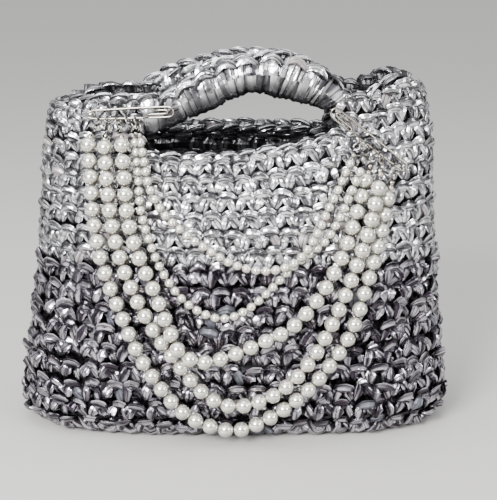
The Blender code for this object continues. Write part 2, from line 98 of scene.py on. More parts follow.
SHOULDER_HEIGHT = upper_high.z / HORN_SHARE
COLOUR_CHANGE = lower_high.z
WALL = 9.0 * MM
OUTLINE_STEPS = 720
SLOPE_STEP = 1.0 * MM
SHARE_STEP = 0.004
STITCHES_ROUND = 54
ROW_DRIFT = 0.17
LOWER_ROWS = 9
FOOT_CLEARANCE = 3.4 * MM
STITCH_WIDTH = 12.4 * MM
STITCH_HEIGHT = 12.2 * MM
OUTER_LAYER = 3.2 * MM
INNER_LAYER = 6.2 * MM
SHARP_FOLD = math.radians(30)
LOOP_VARIANTS = 7
ROW_WANDER = 0.7 * MM
STITCH_SHIFT = 0.7 * MM
FIRST_ROUND_TUCK = 1.4 * MM
LOWER_TIGHTNESS = 0.97
SLOW_WAVES, QUICK_WAVES = 2, 5
SLOW_LAG, QUICK_LAG = 0.9, 1.7
QUICK_SHARE = 0.7

# Rows of a cross-section: turn round the strand in degrees, and reach
FOLDED = ((-8, 0.92), (24, 1.10), (57, 0.86), (90, 1.04), (123, 0.86), (156, 1.10), (188, 0.92), (270, 0.8))
FLAT = ((-12, 0.95), (18, 1.10), (50, 1.12), (90, 1.0), (130, 1.12), (162, 1.10), (192, 0.95), (270, 0.8))
PLEATED = ((0, 1.0), (45, 0.84), (90, 1.0), (135, 0.84), (180, 1.0), (225, 0.84), (270, 1.0), (315, 0.84))
PLAIN = ((0, 1.0), (60, 0.94), (120, 1.0), (180, 0.94), (240, 1.0), (300, 0.94))
# Rows of a loop: place across, inward and up, half width and half thickness, in millimetres
FRONT_LOOP = (
    (-6.7, 2.0, 7.2, 0.9, 0.8),
    (-5.0, 0.2, 8.3, 2.0, 1.4),
    (-2.7, -1.2, 9.5, 2.9, 1.9),
    (0.0, -1.8, 10.0, 3.3, 2.1),
    (2.8, -1.4, 9.5, 2.9, 1.9),
    (5.2, -0.2, 8.2, 2.0, 1.4),
    (6.8, 1.2, 7.0, 1.0, 0.9),
)
LEFT_LEG = (
    (-1.4, 1.0, 8.8, 1.8, 1.1),
    (-2.3, -0.2, 7.0, 2.8, 1.7),
    (-3.1, -0.9, 5.0, 3.3, 1.9),
    (-3.7, -0.8, 2.8, 3.1, 1.9),
    (-4.3, -0.1, 0.6, 2.6, 1.6),
    (-4.8, 1.4, -1.4, 1.8, 1.2),
)
RIGHT_LEG = (
    (1.1, 0.8, 8.8, 1.8, 1.2),
    (2.1, -0.3, 7.0, 2.8, 1.8),
    (3.0, -1.1, 5.0, 3.3, 2.0),
    (3.7, -0.9, 2.8, 3.1, 1.9),
    (4.4, -0.1, 0.6, 2.5, 1.6),
    (5.0, 1.4, -1.4, 1.7, 1.2),
)
OPEN_FRONT_LOOP = (
    (-5.3, 1.8, 6.4, 1.2, 1.0),
    (-4.1, 0.0, 8.0, 2.3, 1.7),
    (-2.2, -1.3, 9.3, 3.2, 2.2),
    (0.0, -2.0, 9.9, 3.6, 2.5),
    (2.3, -1.4, 9.3, 3.2, 2.2),
    (4.3, -0.1, 7.8, 2.3, 1.7),
    (5.5, 1.4, 6.0, 1.3, 1.0),
)
OPEN_LEFT_LEG = (
    (-1.4, 1.0, 8.8, 1.8, 1.1),
    (-2.6, -0.4, 7.0, 2.9, 1.8),
    (-3.6, -1.3, 5.0, 3.5, 2.2),
    (-4.1, -1.0, 3.0, 3.1, 2.1),
    (-4.5, -0.5, 1.2, 2.6, 1.8),
    (-4.8, 0.7, -0.8, 1.9, 1.4),
)
OPEN_RIGHT_LEG = (
    (1.1, 0.9, 8.8, 1.8, 1.2),
    (2.4, -0.5, 7.0, 2.9, 1.9),
    (3.6, -1.4, 5.0, 3.5, 2.3),
    (4.2, -1.0, 3.0, 3.1, 2.1),
    (4.7, -0.4, 1.2, 2.6, 1.8),
    (5.0, 0.8, -0.8, 1.9, 1.4),
)
BACK_BAR = (
    (-6.8, 1.4, 3.6, 2.6, 0.9),
    (-3.6, 0.2, 4.4, 3.5, 1.4),
    (0.0, -0.4, 4.8, 3.8, 1.5),
    (3.6, 0.2, 4.4, 3.5, 1.4),
    (6.8, 1.4, 3.6, 2.6, 0.9),
)
BACK_BUMP = (
    (0.0, 2.4, 13.4, 4.6, 0.9),
    (-0.4, 0.2, 11.4, 6.0, 1.4),
    (-0.2, -0.2, 8.4, 6.2, 1.5),
    (0.2, 1.6, 5.0, 4.6, 1.0),
)
INSIDE_SHIFT = 0.5
LEG_TWIST = math.radians(70)


def curve_point(values, index, share):
    """A point between a value and the next one, on a smooth curve through them all."""
    start, end = values[index], values[index + 1]
    slope_in = (end - values[max(index - 1, 0)]) / 2
    slope_out = (values[min(index + 2, len(values) - 1)] - start) / 2
    cube, square = share**3, share**2
    return (
        start * (2 * cube - 3 * square + 1)
        + slope_in * (cube - 2 * square + share)
        + end * (3 * square - 2 * cube)
        + slope_out * (cube - square)
    )


def read_curve(table, column, at):
    """Reads a column of a table at a value of its first column, on a smooth curve through the rows."""
    keys = table[:, 0]
    at = min(max(at, keys[0]), keys[-1])
    index = min(int(np.searchsorted(keys, at, side="right")) - 1, len(keys) - 2)
    return curve_point(table[:, column], index, (at - keys[index]) / (keys[index + 1] - keys[index]))


def section_at(height):
    """Half width, half depth, squareness and centre of the body at a height."""
    share = height / SHOULDER_HEIGHT
    return (
        BODY_WIDTH / 2 * read_curve(SECTIONS, WIDTH, share),
        BODY_DEPTH / 2 * read_curve(SECTIONS, DEPTH, share),
        read_curve(SECTIONS, SQUARENESS, share),
        BODY_WIDTH / 2 * read_curve(SECTIONS, LEAN, share),
    )


def front_depth(x, height):
    """How far the outer wall stands from the middle plane at a place across the bag."""
    half_width, half_depth, squareness, centre = section_at(height)
    across = min(abs(x - centre) / half_width, 1.0)
    return half_depth * (1 - across**squareness) ** (1 / squareness)


OUTLINES = {}


def outline(height, inset):
    """Close points round the body at a height, with the share of the way round at each, and the length."""
    key = (round(height, 5), round(inset, 5))
    if key not in OUTLINES:
        half_width, half_depth, squareness, centre = section_at(height)
        turn = np.linspace(0, math.tau, OUTLINE_STEPS + 1) - math.pi / 2
        cosine, sine = np.cos(turn), np.sin(turn)
        x = (half_width - inset) * np.sign(cosine) * np.abs(cosine) ** (2 / squareness) + centre
        y = (half_depth - inset) * np.sign(sine) * np.abs(sine) ** (2 / squareness)
        run = np.concatenate(([0.0], np.cumsum(np.hypot(np.diff(x), np.diff(y)))))
        OUTLINES[key] = (run / run[-1], x, y, run[-1])
    return OUTLINES[key]


def wall_point(share, height, inset):
    """A place in the wall; the share runs round from the front centre, to the right first."""
    shares, x, y, _ = outline(height, inset)
    share %= 1
    return Vector((np.interp(share, shares, x), np.interp(share, shares, y), height))


def wall_frame(share, height, inset):
    """A place in the wall and the directions right, inward and up there."""
    ahead = wall_point(share + SHARE_STEP, height, inset)
    behind = wall_point(share - SHARE_STEP, height, inset)
    right = (ahead - behind).normalized()
    above = wall_point(share, height + SLOPE_STEP, inset)
    below = wall_point(share, height - SLOPE_STEP, inset)
    up = above - below
    up = (up - right * up.dot(right)).normalized()
    return wall_point(share, height, inset), right, up.cross(right), up


def girth_shares(spokes):
    """How far round the strand each spoke of a cross-section is, and the first of them once more."""
    return [degrees / 360 for degrees, _ in spokes] + [spokes[0][0] / 360 + 1]


def skin_rings(made, strand, rings, lengths, girth):
    """The faces between rings of vertices, with length and girth kept as the strand's UV map."""
    sides = len(girth) - 1
    for index, (first, second) in enumerate(zip(rings, rings[1:])):
        for side in range(sides):
            after = (side + 1) % sides
            face = made.faces.new((first[side], first[after], second[after], second[side]))
            places = ((index, side), (index, side + 1), (index + 1, side + 1), (index + 1, side))
            for corner, (step, spot) in zip(face.loops, places):
                corner[strand].uv = (lengths[step], girth[spot])


def smooth_mesh(name, made):
    """A mesh of the finished bmesh, shaded smooth."""
    mesh = bpy.data.meshes.new(name)
    made.to_mesh(mesh)
    made.free()
    mesh.shade_smooth()
    return mesh


def folded_mesh(name, made):
    """A smooth mesh with its faces turned outwards and its folds left sharp."""
    bmesh.ops.recalc_face_normals(made, faces=made.faces)
    mesh = smooth_mesh(name, made)
    mesh.set_sharp_from_angle(angle=SHARP_FOLD)
    return mesh


def loop_mesh(name, rows, spokes, crumple, twist, shade_depths, chance):
    """A short length of folded tape as one closed mesh, with painted shade growing between the given depths
    as it lies deeper in the wall.
    """
    made = bmesh.new()
    strand = made.loops.layers.uv.new("strand")
    painted_shade = made.verts.layers.float.new("painted_shade")
    centres = [Vector(row[:3]) * MM for row in rows]
    rings = []
    run = [0.0]
    for index, row in enumerate(rows):
        ahead = centres[min(index + 1, len(rows) - 1)]
        behind = centres[max(index - 1, 0)]
        if index:
            run.append(run[-1] + (centres[index] - behind).length)
        along = (ahead - behind).normalized()
        outward = Vector((0, -1, 0))
        outward = (outward - along * outward.dot(along)).normalized()
        across = along.cross(outward)
        ring = []
        for degrees, reach in spokes:
            turn = math.radians(degrees) + twist * index / (len(rows) - 1)
            reach += crumple * chance.uniform(-1, 1)
            spoke = across * math.cos(turn) * row[3] + outward * math.sin(turn) * row[4]
            vert = made.verts.new(centres[index] + spoke * MM * reach)
            # Painted shade: the deeper a vertex lies in the wall, the darker it is painted.
            vert[painted_shade] = min(max((vert.co.y / MM - shade_depths[0]) / (shade_depths[1] - shade_depths[0]), 0.0), 1.0)
            ring.append(vert)
        rings.append(ring)
    skin_rings(made, strand, rings, [length / STITCH_WIDTH for length in run], girth_shares(spokes))
    made.faces.new(rings[0][::-1])
    made.faces.new(rings[-1])
    return folded_mesh(name, made)


def loop_collection(name, rows, spokes, shade_depths, crumple, seed, twist=0.0):
    """Several hand-pulled versions of one loop, for the node tree to pick from."""
    chance = np.random.default_rng(seed)
    group = bpy.data.collections.new(name)
    for variant in range(LOOP_VARIANTS):
        mesh = loop_mesh(f"{name}_{variant}", rows, spokes, crumple, twist, shade_depths, chance)
        group.objects.link(bpy.data.objects.new(f"{name}_{variant}", mesh))
    return group


def set_inputs(tree, node, inputs):
    """Links a node's inputs to the outputs of other nodes, or gives them plain values."""
    for key, value in inputs.items():
        if isinstance(value, bpy.types.NodeSocket):
            tree.links.new(value, node.inputs[key])
        else:
            node.inputs[key].default_value = value


def add_node(tree, kind, inputs=None, **settings):
    node = tree.nodes.new(kind)
    for name, value in settings.items():
        setattr(node, name, value)
    set_inputs(tree, node, inputs or {})
    return node


def stitch_tree(kinds):
    """A tree that sets one loop of each kind on every point, each a little turned and toned by chance."""
    tree = bpy.data.node_groups.new("crochet", "GeometryNodeTree")
    tree.interface.new_socket("Points", in_out="INPUT", socket_type="NodeSocketGeometry")
    wanted = {"Unevenness": "Float", "Size spread": "Float", "Seed": "Int", "Yarn": "Material"}
    for kind in range(kinds):
        wanted[f"Loops {kind}"] = "Collection"
    sockets = {}
    for name, kind in wanted.items():
        socket = tree.interface.new_socket(name, in_out="INPUT", socket_type=f"NodeSocket{kind}")
        sockets[name] = socket.identifier
    tree.interface.new_socket("Mesh", in_out="OUTPUT", socket_type="NodeSocketGeometry")
    given = add_node(tree, "NodeGroupInput")
    stored = "GeometryNodeInputNamedAttribute"
    aim = add_node(tree, stored, {"Name": "aim"}, data_type="FLOAT_VECTOR")
    size = add_node(tree, stored, {"Name": "size"}, data_type="FLOAT_VECTOR")
    to_turn = add_node(tree, "FunctionNodeEulerToRotation", {"Euler": aim.outputs["Attribute"]})
    join = add_node(tree, "GeometryNodeJoinGeometry")
    for kind in range(kinds):
        factors = {0: given.outputs["Seed"], 1: kinds, 2: kind}
        seed = add_node(tree, "ShaderNodeMath", factors, operation="MULTIPLY_ADD")
        limits = {"Min": (-1, -1, -1), "Max": (1, 1, 1), "Seed": seed.outputs[0]}
        lean = add_node(tree, "FunctionNodeRandomValue", limits, data_type="FLOAT_VECTOR")
        factors = {"Vector": lean.outputs["Value"], "Scale": given.outputs["Unevenness"]}
        leaned = add_node(tree, "ShaderNodeVectorMath", factors, operation="SCALE")
        tilt = add_node(tree, "FunctionNodeEulerToRotation", {"Euler": leaned.outputs["Vector"]})
        turns = {"Rotation": to_turn.outputs["Rotation"], "Rotate By": tilt.outputs["Rotation"]}
        turned = add_node(tree, "FunctionNodeRotateRotation", turns, rotation_space="LOCAL")
        spread = add_node(tree, "ShaderNodeCombineXYZ", dict.fromkeys("XYZ", given.outputs["Size spread"]))
        factors = {0: lean.outputs["Value"], 1: spread.outputs["Vector"], 2: (1, 1, 1)}
        swell = add_node(tree, "ShaderNodeVectorMath", factors, operation="MULTIPLY_ADD")
        factors = {0: swell.outputs["Vector"], 1: size.outputs["Attribute"]}
        sized = add_node(tree, "ShaderNodeVectorMath", factors, operation="MULTIPLY")
        loops = add_node(tree, "GeometryNodeCollectionInfo", {"Collection": given.outputs[f"Loops {kind}"]})
        set_inputs(tree, loops, {"Separate Children": True, "Reset Children": True})
        limits = {"Min": 0, "Max": LOOP_VARIANTS - 1, "Seed": seed.outputs[0]}
        pick = add_node(tree, "FunctionNodeRandomValue", limits, data_type="INT")
        setting = {
            "Points": given.outputs["Points"],
            "Instance": loops.outputs[0],
            "Pick Instance": True,
            "Instance Index": pick.outputs["Value"],
            "Rotation": turned.outputs["Rotation"],
            "Scale": sized.outputs["Vector"],
        }
        place = add_node(tree, "GeometryNodeInstanceOnPoints", setting)
        shade = add_node(tree, "FunctionNodeRandomValue", {"Seed": seed.outputs[0]}, data_type="FLOAT")
        kept = {"Name": "tone", "Geometry": place.outputs["Instances"], "Value": shade.outputs["Value"]}
        tone = add_node(tree, "GeometryNodeStoreNamedAttribute", kept, data_type="FLOAT", domain="INSTANCE")
        tree.links.new(tone.outputs["Geometry"], join.inputs["Geometry"])
    real = add_node(tree, "GeometryNodeRealizeInstances", {"Geometry": join.outputs["Geometry"]})
    worn = {"Geometry": real.outputs["Geometry"], "Material": given.outputs["Yarn"]}
    finish = add_node(tree, "GeometryNodeSetMaterial", worn)
    add_node(tree, "NodeGroupOutput", {0: finish.outputs["Geometry"]})
    return tree, sockets


def plain_piece(name, obj):
    """Turns an object with live modifiers into a plain mesh of the same shape."""
    bpy.context.view_layer.update()
    graph = bpy.context.evaluated_depsgraph_get()
    mesh = bpy.data.meshes.new_from_object(obj.evaluated_get(graph), depsgraph=graph)
    mesh.name = name
    obj.modifiers.clear()
    obj.data = mesh
    return obj


def crochet_piece(name, places, groups, yarn, seed, unevenness=0.09, spread=0.06):
    """One piece of crochet with loops of each kind at every place: a point, its axes and its size."""
    mesh = bpy.data.meshes.new(name)
    mesh.from_pydata([place[0] for place in places], [], [])
    aims = mesh.attributes.new("aim", "FLOAT_VECTOR", "POINT")
    sizes = mesh.attributes.new("size", "FLOAT_VECTOR", "POINT")
    for index, (_, right, inward, up, size) in enumerate(places):
        turn = Matrix((right, inward, up)).transposed()
        aims.data[index].vector = turn.to_euler()
        sizes.data[index].vector = size
    obj = add_object(name, mesh)
    tree, sockets = stitch_tree(len(groups))
    worked = obj.modifiers.new("crochet", "NODES")
    worked.node_group = tree
    given = {"Unevenness": unevenness, "Size spread": spread, "Seed": seed, "Yarn": yarn}
    for kind, group in enumerate(groups):
        given[f"Loops {kind}"] = group
    for key, value in given.items():
        worked[sockets[key]] = value
    plain_piece(name, obj)
    for spent in ("aim", "size"):
        obj.data.attributes.remove(obj.data.attributes[spent])
    return obj


def new_material(name):
    """A new material, its node tree and its surface."""
    made = bpy.data.materials.new(name)
    made.use_nodes = True
    return made, made.node_tree, made.node_tree.nodes["Principled BSDF"]


def attribute(tree, name):
    return add_node(tree, "ShaderNodeAttribute", attribute_name=name).outputs["Fac"]


def noise(tree, place, scale, detail):
    inputs = {"Vector": place, "Scale": scale, "Detail": detail}
    return add_node(tree, "ShaderNodeTexNoise", inputs).outputs["Fac"]


def mixed(tree, factor, *colours):
    """A mix of two colours, each of them plain or from another node."""
    first, second = ((*colour, 1) if isinstance(colour, tuple) else colour for colour in colours)
    inputs = {"Factor": factor, "A": first, "B": second}
    return add_node(tree, "ShaderNodeMix", inputs, data_type="RGBA").outputs["Result"]


def darker(colour, share):
    return tuple(channel * share for channel in colour)


TONE_SHIFT = 97.0
WAVE_STRETCH = (0.5, 5.0, 1.0)
WAVE_SCALE = 1.3
CRUMPLE_SCALE = 230.0
FOLDS_ROUND = 8.0
FOLD_WAVER = 2.0
CRUMPLE_RELIEF, PLEAT_RELIEF, CREASE_RELIEF = 0.55, 0.4, 0.2
CREASE_BAND, SHADE_BAND, TURNED_BAND = (0.0, 0.30), (0.36, 0.64), (0.98, 0.985)
DULL_SHADE, CREASE_SHADE, RECESS_SHADE = 0.55, 0.12, 0.25
RECESS_REACH = 0.93
DULL_ROUGHNESS = 0.45
FOIL_METAL, DULL_METAL = 0.93, 0.5


def tape_yarn(name, light, dark, reverse, roughness):
    """Foil tape: sharp folds along the strand with painted shade in their creases, painted shade where it
    sinks between others, dull on its back.
    """
    made, tree, surface = new_material(name)

    def maths(operation, *values):
        return add_node(tree, "ShaderNodeMath", dict(enumerate(values)), operation=operation).outputs[0]

    def ramp(value, band=(0.0, 1.0), reach=(0.0, 1.0)):
        inputs = dict(enumerate((value, *band, *reach)))
        node = add_node(tree, "ShaderNodeMapRange", inputs, interpolation_type="SMOOTHSTEP")
        return node.outputs["Result"]

    tone, painted_shade = attribute(tree, "tone"), attribute(tree, "painted_shade")
    strand = add_node(tree, "ShaderNodeUVMap", uv_map="strand").outputs["UV"]
    shift = add_node(tree, "ShaderNodeCombineXYZ", {"Z": maths("MULTIPLY", tone, TONE_SHIFT)})
    stretching = {"Scale": WAVE_STRETCH, "Location": shift.outputs["Vector"], "Vector": strand}
    stretch = add_node(tree, "ShaderNodeMapping", stretching)
    waves = noise(tree, stretch.outputs["Vector"], WAVE_SCALE, 1.0)
    girth = add_node(tree, "ShaderNodeSeparateXYZ", {"Vector": strand}).outputs["Y"]
    pleat = maths("FRACT", maths("MULTIPLY_ADD", girth, FOLDS_ROUND, maths("MULTIPLY", waves, FOLD_WAVER)))
    crease = ramp(pleat, CREASE_BAND)
    crumple = noise(tree, add_node(tree, "ShaderNodeTexCoord").outputs["Object"], CRUMPLE_SCALE, 1.0)
    relief = maths("MULTIPLY_ADD", crumple, CRUMPLE_RELIEF, maths("MULTIPLY", pleat, PLEAT_RELIEF))
    relief = maths("MULTIPLY_ADD", crease, CREASE_RELIEF, relief)
    bump = add_node(tree, "ShaderNodeBump", {"Strength": 1.0, "Distance": 1.0 * MM, "Height": relief})
    turned = ramp(tone, TURNED_BAND)
    shade = ramp(waves, SHADE_BAND)
    back = mixed(tree, shade, darker(reverse, DULL_SHADE), reverse)
    body = mixed(tree, turned, mixed(tree, shade, dark, light), back)
    # Painted shade: the creases of the folds are painted darker.
    body = mixed(tree, crease, darker(dark, CREASE_SHADE), body)
    # Painted shade: the tape is painted darker where it sinks between other loops and inside the wall.
    shade_mask = ramp(painted_shade, reach=(0.0, RECESS_REACH))
    finish = {
        "Normal": bump.outputs["Normal"],
        "Base Color": mixed(tree, shade_mask, body, darker(dark, RECESS_SHADE)),
        "Roughness": ramp(turned, reach=(roughness, DULL_ROUGHNESS)),
        "Metallic": ramp(turned, reach=(FOIL_METAL, DULL_METAL)),
    }
    set_inputs(tree, surface, finish)
    return made


def settle(piece, node):
    """Fixes a finished piece to the bag and hides the CAD node that it stands for."""
    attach(piece, "root")
    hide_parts(node)


def stitch_size(height, row_height, tightness):
    """How far a loop is pulled: wider rounds open the stitches more than they stretch the tape."""
    cell = outline(height, 0)[3] / STITCHES_ROUND
    return (tightness * math.sqrt(cell / STITCH_WIDTH), 1.0, row_height / STITCH_HEIGHT)


def row_wave(share, row):
    """How far a hand-worked round wanders up and down on its way round."""
    turn = math.tau * share
    slow = math.sin(SLOW_WAVES * turn + SLOW_LAG * row)
    return ROW_WANDER * (slow + QUICK_SHARE * math.sin(QUICK_WAVES * turn + QUICK_LAG * row))


PRESS_REACH = 12.0 * MM
PRESS_DEPTH = 3.0 * MM
wires = [vert.co for node in ("left_pin", "right_pin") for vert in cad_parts[node].data.vertices]
pressed = KDTree(len(wires))
for index, place in enumerate(wires):
    pressed.insert(place, index)
pressed.balance()


def pin_press(place):
    """How far a stitch gives way under the wire of a safety pin."""
    _, _, distance = pressed.find(place)
    return PRESS_DEPTH * max(1 - distance / PRESS_REACH, 0.0)


def wall_places(rows, layer, inside, height_of, tightness, seed):
    """A place for every stitch of the given rows, on the outer or the inner face of the wall."""
    chance = np.random.default_rng(seed)
    places = []
    for row in rows:
        for column in range(STITCHES_ROUND):
            share = (column + 0.5 - ROW_DRIFT * row + INSIDE_SHIFT * inside) / STITCHES_ROUND
            found = height_of(share, row)
            if found is None:
                continue
            height, row_height = found
            wander = row_wave(share, row) * min(row, 1)
            place, right, inward, up = wall_frame(share, height + wander, layer)
            place += right * chance.uniform(-STITCH_SHIFT, STITCH_SHIFT)
            place += up * chance.uniform(-STITCH_SHIFT, STITCH_SHIFT)
            place += inward * pin_press(place + up * STITCH_HEIGHT / 2)
            if row == 0:
                place += inward * FIRST_ROUND_TUCK
            if inside:
                right, inward = -right, -inward
            places.append((place, right, inward, up, stitch_size(height, row_height, tightness)))
    return places


def lower_row(share, row):
    """Where a gunmetal round lies and how high it is."""
    pitch = (COLOUR_CHANGE - FOOT_CLEARANCE) / LOWER_ROWS
    return FOOT_CLEARANCE + pitch * row, pitch


# Depths in millimetres, inward from a loop's middle, over which its painted shade grows from none to full;
# inside loops are painted darker all through.
OPEN_SHADE_DEPTHS = (-1.9, -0.2)
INSIDE_SHADE_DEPTHS = (-4.4, 2.2)
gunmetal = tape_yarn("gunmetal_tape", (0.55, 0.525, 0.58), (0.045, 0.036, 0.048), (0.22, 0.23, 0.27), 0.22)
open_loops = (
    loop_collection("open_front_loop", OPEN_FRONT_LOOP, FOLDED, OPEN_SHADE_DEPTHS, crumple=0.12, seed=11),
    loop_collection("open_left_leg", OPEN_LEFT_LEG, FLAT, OPEN_SHADE_DEPTHS, crumple=0.15, seed=12),
    loop_collection("open_right_leg", OPEN_RIGHT_LEG, PLEATED, OPEN_SHADE_DEPTHS, 0.12, 13, LEG_TWIST),
)
inside_loops = (
    loop_collection("back_bar", BACK_BAR, PLAIN, INSIDE_SHADE_DEPTHS, crumple=0.10, seed=14),
    loop_collection("back_bump", BACK_BUMP, PLAIN, INSIDE_SHADE_DEPTHS, crumple=0.12, seed=15),
)
lower_rows = range(LOWER_ROWS)
outside = wall_places(lower_rows, OUTER_LAYER, False, lower_row, LOWER_TIGHTNESS, 31)
lower_face = crochet_piece(
    "lower_body_face", outside, open_loops, gunmetal, 1, unevenness=0.26, spread=0.12
)
settle(lower_face, "lower_body")
inside = wall_places(lower_rows, INNER_LAYER, True, lower_row, LOWER_TIGHTNESS, 32)
settle(crochet_piece("lower_body_inside", inside, inside_loops, gunmetal, 2), "lower_body")


# Base
# Flat rounds of the same gunmetal crochet, worked outwards from the middle, with scalloped edge loops.
BASE_ROUNDS = 5
BASE_UNDER = 5.7 * MM
BASE_OVER = 6.6 * MM
BASE_INSET = 1.45
BASE_SIZE = (1.05, 1.0, 1.05)
FOOT_LOOP = (
    (-6.6, 1.6, 8.6, 1.6, 1.1),
    (-5.2, 0.2, 5.4, 2.6, 1.7),
    (-2.8, -0.9, 2.4, 3.3, 2.1),
    (0.0, -1.3, 1.2, 3.6, 2.2),
    (2.8, -0.9, 2.4, 3.3, 2.1),
    (5.2, 0.2, 5.4, 2.6, 1.7),
    (6.6, 1.6, 8.6, 1.6, 1.1),
)
FOOT_LOOPS_ROUND = 50
FOOT_LEVEL = 3.4 * MM
FOOT_INSET = 1.4 * MM
FOOT_SIZE = (1.05, 1.0, 1.0)
EDGE_SHADE_DEPTHS = (-1.5, 0.2)


def base_places(height, facing):
    """Places of the flat rounds: stitches lie with their tops towards the edge of the base."""
    places = []
    for ring in range(BASE_ROUNDS):
        inset = STITCH_HEIGHT * (ring + BASE_INSET)
        count = round(outline(0, inset)[3] / STITCH_WIDTH)
        for column in range(count):
            share = (column + 0.5) / count
            place = wall_point(share, 0, inset)
            right = wall_point(share + SHARE_STEP, 0, inset) - wall_point(share - SHARE_STEP, 0, inset)
            right.normalize()
            inward = Vector((0, 0, -facing))
            up = right.cross(inward)
            if up.dot(wall_point(share, 0, inset - STITCH_HEIGHT) - place) < 0:
                right = -right
                up = -up
            place.z = height
            places.append((place, right, inward, up, BASE_SIZE))
    return places


base_under = base_places(BASE_UNDER, -1)
settle(crochet_piece("base_underside", base_under, open_loops, gunmetal, 3), "lower_body")
base_over = base_places(BASE_OVER, 1)
settle(crochet_piece("base_inside", base_over, inside_loops, gunmetal, 4), "lower_body")
foot_places = []
for column in range(FOOT_LOOPS_ROUND):
    place, right, inward, up = wall_frame(column / FOOT_LOOPS_ROUND, FOOT_LEVEL, OUTER_LAYER)
    foot_places.append((place + inward * FOOT_INSET, right, inward, up, FOOT_SIZE))
foot_loops = (loop_collection("foot_loop", FOOT_LOOP, FOLDED, EDGE_SHADE_DEPTHS, crumple=0.07, seed=16),)
foot_edge = crochet_piece("base_edge", foot_places, foot_loops, gunmetal, 5)
settle(foot_edge, "lower_body")


# Upper body
# The same crochet goes on in silver tape: six rounds up to the hand holes, then three rows on each side.
UPPER_ROWS = 9
RIM_ROWS = 6
EDGE_ROOM = 2.0 * MM
UPPER_TIGHTNESS = 1.03
FACE_SHADE_DEPTHS = (-1.6, 0.1)
EDGES = np.array(
    (
        (-1.00, 0.955),
        (-0.93, 0.965),
        (-0.80, 0.990),
        (-0.60, 0.990),
        (0.55, 1.005),
        (0.68, 0.995),
        (0.80, 1.020),
        (0.88, 1.038),
        (0.95, 1.030),
        (1.00, 1.010),
    )
)
# Rows of RIMS: share of the way along the hand hole, front rim and back rim
RIMS = np.array(
    (
        (0.00, 0.836, 0.858),
        (0.25, 0.829, 0.860),
        (0.50, 0.834, 0.860),
        (0.75, 0.856, 0.858),
        (1.00, 0.882, 0.856),
    )
)
FRONT_RIM, BACK_RIM = 1, 2
handle_low, handle_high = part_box("front_handle")
HOLE_LEFT, HOLE_RIGHT = handle_low.x, handle_high.x
HANDLE_LEVEL = 0.95 * SHOULDER_HEIGHT
silver = tape_yarn("silver_tape", (0.93, 0.93, 0.95), (0.135, 0.132, 0.145), (0.60, 0.53, 0.54), 0.22)
face_loops = (
    loop_collection("front_loop", FRONT_LOOP, FOLDED, FACE_SHADE_DEPTHS, crumple=0.08, seed=21),
    loop_collection("left_leg", LEFT_LEG, FLAT, FACE_SHADE_DEPTHS, crumple=0.11, seed=22),
    loop_collection("right_leg", RIGHT_LEG, PLEATED, FACE_SHADE_DEPTHS, 0.08, 23, LEG_TWIST),
)


def over_hole(x):
    return HOLE_LEFT < x < HOLE_RIGHT


def at_hole(share):
    """Whether a share of the way round lies over a hand hole."""
    return over_hole(wall_point(share, HANDLE_LEVEL, 0).x)


def edge_height(share):
    """Height of the top edge: the shoulders outside the hand holes, and the lower rim within them."""
    place = wall_point(share, HANDLE_LEVEL, 0)
    if over_hole(place.x):
        along = (place.x - HOLE_LEFT) / (HOLE_RIGHT - HOLE_LEFT)
        return SHOULDER_HEIGHT * read_curve(RIMS, FRONT_RIM if place.y < 0 else BACK_RIM, along)
    half_width, _, _, centre = section_at(HANDLE_LEVEL)
    return SHOULDER_HEIGHT * read_curve(EDGES, 1, (place.x - centre) / half_width)


def upper_row(share, row):
    """Where a silver round lies and how high it is, or nothing where a hand hole stops it."""
    rows = RIM_ROWS if at_hole(share) else UPPER_ROWS
    if row - LOWER_ROWS >= rows:
        return None
    pitch = (edge_height(share) - EDGE_ROOM - COLOUR_CHANGE) / rows
    return COLOUR_CHANGE + pitch * (row - LOWER_ROWS), pitch


upper_rows = range(LOWER_ROWS, LOWER_ROWS + UPPER_ROWS)
outside = wall_places(upper_rows, OUTER_LAYER, False, upper_row, UPPER_TIGHTNESS, 33)
upper_face = crochet_piece("upper_body_face", outside, face_loops, silver, 6, unevenness=0.10, spread=0.06)
settle(upper_face, "upper_body")
inside = wall_places(upper_rows, INNER_LAYER, True, upper_row, UPPER_TIGHTNESS, 34)
settle(crochet_piece("upper_body_inside", inside, inside_loops, silver, 7), "upper_body")


# Rims and shoulder edges
# The tops of the last round show as a chain of plaited loops, two to each stitch, lying along the edge.
# Along the back hand hole it leans forward, over the opening.
CHAIN_HIGH = (
    (-7.4, 1.6, 4.4, 1.0, 0.9),
    (-5.0, 0.2, 4.4, 2.0, 1.4),
    (-1.4, -0.9, 3.4, 2.7, 1.8),
    (2.4, -1.0, 2.1, 2.6, 1.7),
    (5.4, 0.0, 1.1, 1.8, 1.3),
    (7.6, 1.8, 0.8, 0.9, 0.9),
)
CHAIN_LOW = tuple((x, y, -z, wide, thick) for x, y, z, wide, thick in CHAIN_HIGH)
CHAIN_PITCH = 12.4 * MM
BACK_RIM_TILT = math.radians(50)
CHAIN_SINK = 0.8 * MM
chain_loops = (
    loop_collection("chain_high", CHAIN_HIGH, FOLDED, EDGE_SHADE_DEPTHS, crumple=0.06, seed=17),
    loop_collection("chain_low", CHAIN_LOW, FOLDED, EDGE_SHADE_DEPTHS, crumple=0.06, seed=18),
)
EDGE_SAMPLES = 600
SHORTEST_RUN = 3
EDGE_CHAIN_SIZE = (1.0, 1.0, 0.8)
BACK_RIM_SIZE = (1.0, 1.0, 0.85)


